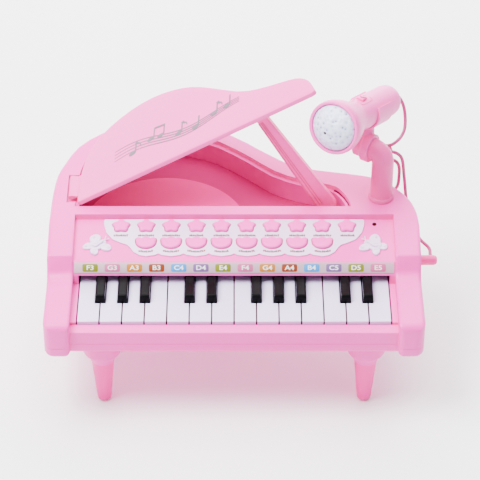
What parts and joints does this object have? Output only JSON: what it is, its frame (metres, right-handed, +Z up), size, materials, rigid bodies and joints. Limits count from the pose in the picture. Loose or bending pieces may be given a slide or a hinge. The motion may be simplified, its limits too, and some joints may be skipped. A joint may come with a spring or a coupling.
{
  "type": "toy electronic keyboard",
  "caption": "Toy electronic keyboard shaped like a grand piano, with sprung keys and buttons, a propped hinged lid, tapered legs and a corded microphone that tilts on a stand.",
  "frame": {"origin": "on the floor under the middle of the body's bounding box, without the cord and plug", "axes": "+X to the player's right along the keyboard, +Y away from the player, +Z up"},
  "size_m": [0.401, 0.303, 0.2999],
  "materials": {
    "pink": "satin",
    "deep_pink": "satin",
    "white": "gloss",
    "black": "gloss",
    "cord": "matte",
    "grille": "satin",
    "board": "matte",
    "cone": "matte"
  },
  "bodies": {
    "body": {"upper_case": "pink", "lower_case": "pink", "leg_front_left": "deep_pink", "leg_front_right": "deep_pink", "leg_rear": "deep_pink", "control_plate": "white", "mic_stand": "pink", "mic_cord": "cord", "mic_plug": "cord", "battery_cover": "pink", "circuit_board": "board", "speaker": "cone"},
    "lid": {"lid": "pink"},
    "prop": {"prop_stick": "pink"},
    "mic": {"mic_clip": "pink", "mic_body": "pink", "mic_grille": "grille"},
    "mic_switch": {"mic_switch": "deep_pink"},
    "key_white_01": {"key_white_01": "white"},
    "key_white_02": {"key_white_02": "white"},
    "key_white_03": {"key_white_03": "white"},
    "key_white_04": {"key_white_04": "white"},
    "key_white_05": {"key_white_05": "white"},
    "key_white_06": {"key_white_06": "white"},
    "key_white_07": {"key_white_07": "white"},
    "key_white_08": {"key_white_08": "white"},
    "key_white_09": {"key_white_09": "white"},
    "key_white_10": {"key_white_10": "white"},
    "key_white_11": {"key_white_11": "white"},
    "key_white_12": {"key_white_12": "white"},
    "key_white_13": {"key_white_13": "white"},
    "key_white_14": {"key_white_14": "white"},
    "key_black_01": {"key_black_01": "black"},
    "key_black_02": {"key_black_02": "black"},
    "key_black_03": {"key_black_03": "black"},
    "key_black_04": {"key_black_04": "black"},
    "key_black_05": {"key_black_05": "black"},
    "key_black_06": {"key_black_06": "black"},
    "key_black_07": {"key_black_07": "black"},
    "key_black_08": {"key_black_08": "black"},
    "key_black_09": {"key_black_09": "black"},
    "key_black_10": {"key_black_10": "black"},
    "button_top_01": {"button_top_01": "pink"},
    "button_top_02": {"button_top_02": "pink"},
    "button_top_03": {"button_top_03": "pink"},
    "button_top_04": {"button_top_04": "pink"},
    "button_top_05": {"button_top_05": "pink"},
    "button_top_06": {"button_top_06": "pink"},
    "button_top_07": {"button_top_07": "pink"},
    "button_top_08": {"button_top_08": "pink"},
    "button_top_09": {"button_top_09": "pink"},
    "button_top_10": {"button_top_10": "pink"},
    "button_low_01": {"button_low_01": "pink"},
    "button_low_02": {"button_low_02": "pink"},
    "button_low_03": {"button_low_03": "pink"},
    "button_low_04": {"button_low_04": "pink"},
    "button_low_05": {"button_low_05": "pink"},
    "button_low_06": {"button_low_06": "pink"},
    "button_low_07": {"button_low_07": "pink"},
    "button_low_08": {"button_low_08": "pink"}
  },
  "joints": [
    {"name": "lid_hinge", "type": "hinge", "parent": "body", "child": "lid", "pos_m": [-0.1695, 0.04, 0.157], "axis": [0, 1, 0], "range_deg": [-45, 0]},
    {"name": "prop_pivot", "type": "hinge", "parent": "body", "child": "prop", "pos_m": [0.0965, 0.0191, 0.148], "axis": [0, 1, 0], "range_deg": [-56, 0]},
    {"name": "mic_tilt", "type": "hinge", "parent": "body", "child": "mic", "pos_m": [0.13848, 0.02895, 0.2135], "axis": [0.8462, -0.5328, 0], "range_deg": [0, 30]},
    {"name": "mic_switch_slide", "type": "slide", "parent": "mic", "child": "mic_switch", "axis": [-0.5107, -0.811, 0.2854], "range_m": [0, 0.004]},
    {"name": "key_white_01_hinge", "type": "hinge", "parent": "body", "child": "key_white_01", "pos_m": [-0.14625, -0.0285, 0.113], "axis": [1, 0, 0], "range_deg": [0, 2.5], "stiffness_Nm_per_rad": 0.3, "springref_deg": -5.73},
    {"name": "key_white_02_hinge", "type": "hinge", "parent": "body", "child": "key_white_02", "pos_m": [-0.12375, -0.0285, 0.113], "axis": [1, 0, 0], "range_deg": [0, 2.5], "stiffness_Nm_per_rad": 0.3, "springref_deg": -5.73},
    {"name": "key_white_03_hinge", "type": "hinge", "parent": "body", "child": "key_white_03", "pos_m": [-0.10125, -0.0285, 0.113], "axis": [1, 0, 0], "range_deg": [0, 2.5], "stiffness_Nm_per_rad": 0.3, "springref_deg": -5.73},
    {"name": "key_white_04_hinge", "type": "hinge", "parent": "body", "child": "key_white_04", "pos_m": [-0.07875, -0.0285, 0.113], "axis": [1, 0, 0], "range_deg": [0, 2.5], "stiffness_Nm_per_rad": 0.3, "springref_deg": -5.73},
    {"name": "key_white_05_hinge", "type": "hinge", "parent": "body", "child": "key_white_05", "pos_m": [-0.05625, -0.0285, 0.113], "axis": [1, 0, 0], "range_deg": [0, 2.5], "stiffness_Nm_per_rad": 0.3, "springref_deg": -5.73},
    {"name": "key_white_06_hinge", "type": "hinge", "parent": "body", "child": "key_white_06", "pos_m": [-0.03375, -0.0285, 0.113], "axis": [1, 0, 0], "range_deg": [0, 2.5], "stiffness_Nm_per_rad": 0.3, "springref_deg": -5.73},
    {"name": "key_white_07_hinge", "type": "hinge", "parent": "body", "child": "key_white_07", "pos_m": [-0.01125, -0.0285, 0.113], "axis": [1, 0, 0], "range_deg": [0, 2.5], "stiffness_Nm_per_rad": 0.3, "springref_deg": -5.73},
    {"name": "key_white_08_hinge", "type": "hinge", "parent": "body", "child": "key_white_08", "pos_m": [0.01125, -0.0285, 0.113], "axis": [1, 0, 0], "range_deg": [0, 2.5], "stiffness_Nm_per_rad": 0.3, "springref_deg": -5.73},
    {"name": "key_white_09_hinge", "type": "hinge", "parent": "body", "child": "key_white_09", "pos_m": [0.03375, -0.0285, 0.113], "axis": [1, 0, 0], "range_deg": [0, 2.5], "stiffness_Nm_per_rad": 0.3, "springref_deg": -5.73},
    {"name": "key_white_10_hinge", "type": "hinge", "parent": "body", "child": "key_white_10", "pos_m": [0.05625, -0.0285, 0.113], "axis": [1, 0, 0], "range_deg": [0, 2.5], "stiffness_Nm_per_rad": 0.3, "springref_deg": -5.73},
    {"name": "key_white_11_hinge", "type": "hinge", "parent": "body", "child": "key_white_11", "pos_m": [0.07875, -0.0285, 0.113], "axis": [1, 0, 0], "range_deg": [0, 2.5], "stiffness_Nm_per_rad": 0.3, "springref_deg": -5.73},
    {"name": "key_white_12_hinge", "type": "hinge", "parent": "body", "child": "key_white_12", "pos_m": [0.10125, -0.0285, 0.113], "axis": [1, 0, 0], "range_deg": [0, 2.5], "stiffness_Nm_per_rad": 0.3, "springref_deg": -5.73},
    {"name": "key_white_13_hinge", "type": "hinge", "parent": "body", "child": "key_white_13", "pos_m": [0.12375, -0.0285, 0.113], "axis": [1, 0, 0], "range_deg": [0, 2.5], "stiffness_Nm_per_rad": 0.3, "springref_deg": -5.73},
    {"name": "key_white_14_hinge", "type": "hinge", "parent": "body", "child": "key_white_14", "pos_m": [0.14625, -0.0285, 0.113], "axis": [1, 0, 0], "range_deg": [0, 2.5], "stiffness_Nm_per_rad": 0.3, "springref_deg": -5.73},
    {"name": "key_black_01_hinge", "type": "hinge", "parent": "body", "child": "key_black_01", "pos_m": [-0.135, -0.0285, 0.113], "axis": [1, 0, 0], "range_deg": [0, 2.5], "stiffness_Nm_per_rad": 0.3, "springref_deg": -5.73},
    {"name": "key_black_02_hinge", "type": "hinge", "parent": "body", "child": "key_black_02", "pos_m": [-0.1125, -0.0285, 0.113], "axis": [1, 0, 0], "range_deg": [0, 2.5], "stiffness_Nm_per_rad": 0.3, "springref_deg": -5.73},
    {"name": "key_black_03_hinge", "type": "hinge", "parent": "body", "child": "key_black_03", "pos_m": [-0.09, -0.0285, 0.113], "axis": [1, 0, 0], "range_deg": [0, 2.5], "stiffness_Nm_per_rad": 0.3, "springref_deg": -5.73},
    {"name": "key_black_04_hinge", "type": "hinge", "parent": "body", "child": "key_black_04", "pos_m": [-0.045, -0.0285, 0.113], "axis": [1, 0, 0], "range_deg": [0, 2.5], "stiffness_Nm_per_rad": 0.3, "springref_deg": -5.73},
    {"name": "key_black_05_hinge", "type": "hinge", "parent": "body", "child": "key_black_05", "pos_m": [-0.0225, -0.0285, 0.113], "axis": [1, 0, 0], "range_deg": [0, 2.5], "stiffness_Nm_per_rad": 0.3, "springref_deg": -5.73},
    {"name": "key_black_06_hinge", "type": "hinge", "parent": "body", "child": "key_black_06", "pos_m": [0.0225, -0.0285, 0.113], "axis": [1, 0, 0], "range_deg": [0, 2.5], "stiffness_Nm_per_rad": 0.3, "springref_deg": -5.73},
    {"name": "key_black_07_hinge", "type": "hinge", "parent": "body", "child": "key_black_07", "pos_m": [0.045, -0.0285, 0.113], "axis": [1, 0, 0], "range_deg": [0, 2.5], "stiffness_Nm_per_rad": 0.3, "springref_deg": -5.73},
    {"name": "key_black_08_hinge", "type": "hinge", "parent": "body", "child": "key_black_08", "pos_m": [0.0675, -0.0285, 0.113], "axis": [1, 0, 0], "range_deg": [0, 2.5], "stiffness_Nm_per_rad": 0.3, "springref_deg": -5.73},
    {"name": "key_black_09_hinge", "type": "hinge", "parent": "body", "child": "key_black_09", "pos_m": [0.1125, -0.0285, 0.113], "axis": [1, 0, 0], "range_deg": [0, 2.5], "stiffness_Nm_per_rad": 0.3, "springref_deg": -5.73},
    {"name": "key_black_10_hinge", "type": "hinge", "parent": "body", "child": "key_black_10", "pos_m": [0.135, -0.0285, 0.113], "axis": [1, 0, 0], "range_deg": [0, 2.5], "stiffness_Nm_per_rad": 0.3, "springref_deg": -5.73},
    {"name": "button_top_01_press", "type": "slide", "parent": "body", "child": "button_top_01", "axis": [0, 0.1908, -0.9816], "range_m": [0, 0.0015], "stiffness_N_per_m": 300, "springref_m": -0.002},
    {"name": "button_top_02_press", "type": "slide", "parent": "body", "child": "button_top_02", "axis": [0, 0.1908, -0.9816], "range_m": [0, 0.0015], "stiffness_N_per_m": 300, "springref_m": -0.002},
    {"name": "button_top_03_press", "type": "slide", "parent": "body", "child": "button_top_03", "axis": [0, 0.1908, -0.9816], "range_m": [0, 0.0015], "stiffness_N_per_m": 300, "springref_m": -0.002},
    {"name": "button_top_04_press", "type": "slide", "parent": "body", "child": "button_top_04", "axis": [0, 0.1908, -0.9816], "range_m": [0, 0.0015], "stiffness_N_per_m": 300, "springref_m": -0.002},
    {"name": "button_top_05_press", "type": "slide", "parent": "body", "child": "button_top_05", "axis": [0, 0.1908, -0.9816], "range_m": [0, 0.0015], "stiffness_N_per_m": 300, "springref_m": -0.002},
    {"name": "button_top_06_press", "type": "slide", "parent": "body", "child": "button_top_06", "axis": [0, 0.1908, -0.9816], "range_m": [0, 0.0015], "stiffness_N_per_m": 300, "springref_m": -0.002},
    {"name": "button_top_07_press", "type": "slide", "parent": "body", "child": "button_top_07", "axis": [0, 0.1908, -0.9816], "range_m": [0, 0.0015], "stiffness_N_per_m": 300, "springref_m": -0.002},
    {"name": "button_top_08_press", "type": "slide", "parent": "body", "child": "button_top_08", "axis": [0, 0.1908, -0.9816], "range_m": [0, 0.0015], "stiffness_N_per_m": 300, "springref_m": -0.002},
    {"name": "button_top_09_press", "type": "slide", "parent": "body", "child": "button_top_09", "axis": [0, 0.1908, -0.9816], "range_m": [0, 0.0015], "stiffness_N_per_m": 300, "springref_m": -0.002},
    {"name": "button_top_10_press", "type": "slide", "parent": "body", "child": "button_top_10", "axis": [0, 0.1908, -0.9816], "range_m": [0, 0.0015], "stiffness_N_per_m": 300, "springref_m": -0.002},
    {"name": "button_low_01_press", "type": "slide", "parent": "body", "child": "button_low_01", "axis": [0, 0.1908, -0.9816], "range_m": [0, 0.0015], "stiffness_N_per_m": 300, "springref_m": -0.002},
    {"name": "button_low_02_press", "type": "slide", "parent": "body", "child": "button_low_02", "axis": [0, 0.1908, -0.9816], "range_m": [0, 0.0015], "stiffness_N_per_m": 300, "springref_m": -0.002},
    {"name": "button_low_03_press", "type": "slide", "parent": "body", "child": "button_low_03", "axis": [0, 0.1908, -0.9816], "range_m": [0, 0.0015], "stiffness_N_per_m": 300, "springref_m": -0.002},
    {"name": "button_low_04_press", "type": "slide", "parent": "body", "child": "button_low_04", "axis": [0, 0.1908, -0.9816], "range_m": [0, 0.0015], "stiffness_N_per_m": 300, "springref_m": -0.002},
    {"name": "button_low_05_press", "type": "slide", "parent": "body", "child": "button_low_05", "axis": [0, 0.1908, -0.9816], "range_m": [0, 0.0015], "stiffness_N_per_m": 300, "springref_m": -0.002},
    {"name": "button_low_06_press", "type": "slide", "parent": "body", "child": "button_low_06", "axis": [0, 0.1908, -0.9816], "range_m": [0, 0.0015], "stiffness_N_per_m": 300, "springref_m": -0.002},
    {"name": "button_low_07_press", "type": "slide", "parent": "body", "child": "button_low_07", "axis": [0, 0.1908, -0.9816], "range_m": [0, 0.0015], "stiffness_N_per_m": 300, "springref_m": -0.002},
    {"name": "button_low_08_press", "type": "slide", "parent": "body", "child": "button_low_08", "axis": [0, 0.1908, -0.9816], "range_m": [0, 0.0015], "stiffness_N_per_m": 300, "springref_m": -0.002}
  ]
}
